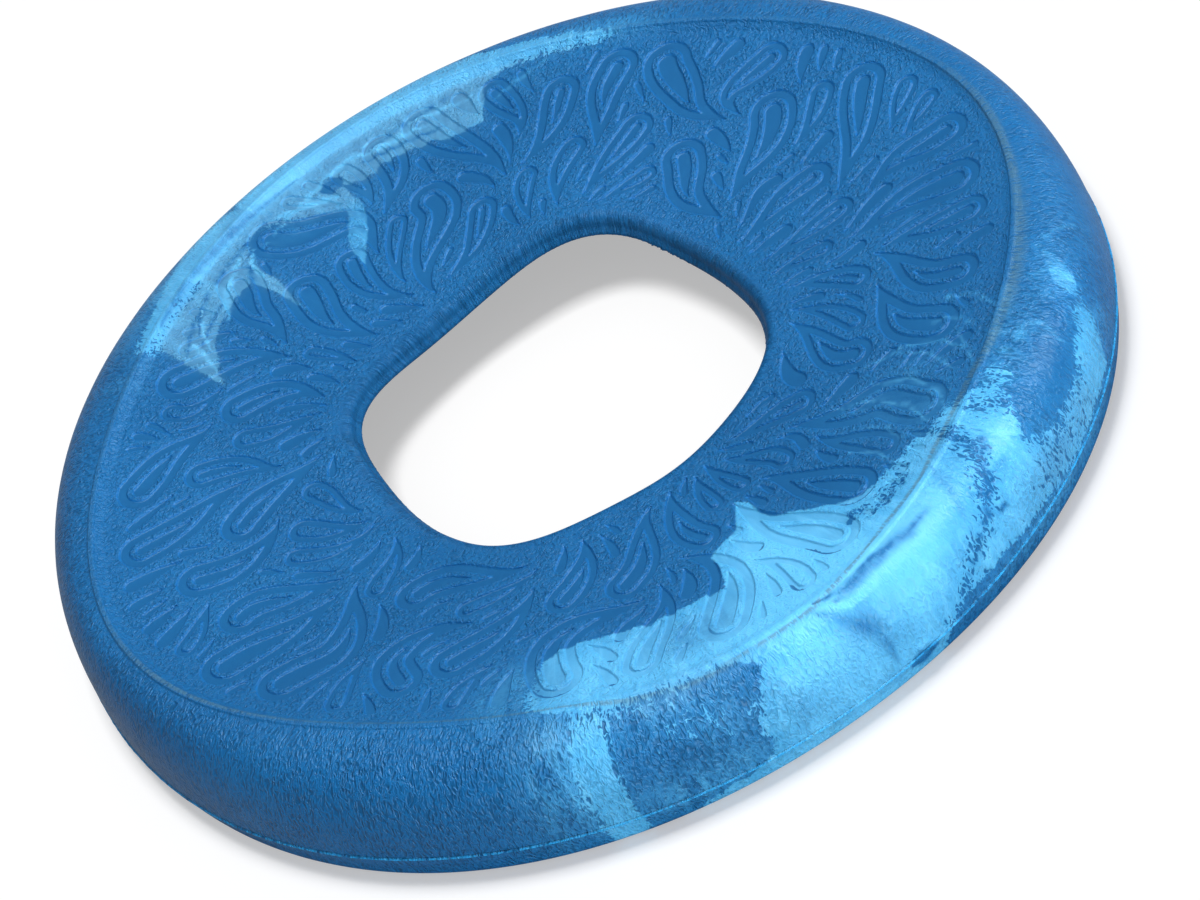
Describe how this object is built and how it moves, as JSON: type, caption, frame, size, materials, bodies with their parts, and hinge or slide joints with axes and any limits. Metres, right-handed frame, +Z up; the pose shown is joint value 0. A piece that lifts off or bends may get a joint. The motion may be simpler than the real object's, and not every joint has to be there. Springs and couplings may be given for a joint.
{
  "type": "flying ring",
  "caption": "Soft throwing ring with a dished deck, rolled outer rim, open underside and rounded-square grip hole, moulded from two marbled blue compounds.",
  "frame": {"origin": "the ring's centre, on the plane it rests on", "axes": "+Z up out of the deck; the ring's four lobes lie at 45 degrees between X and Y"},
  "size_m": [0.215, 0.215, 0.0247],
  "materials": {
    "dark_compound": "satin, fine leather grain",
    "light_compound": "satin, fine leather grain"
  },
  "bodies": {
    "root": {"ring_body": "dark_compound", "far_light_swirl": "light_compound", "near_light_swirl": "light_compound", "side_light_swirl": "light_compound"}
  },
  "joints": []
}
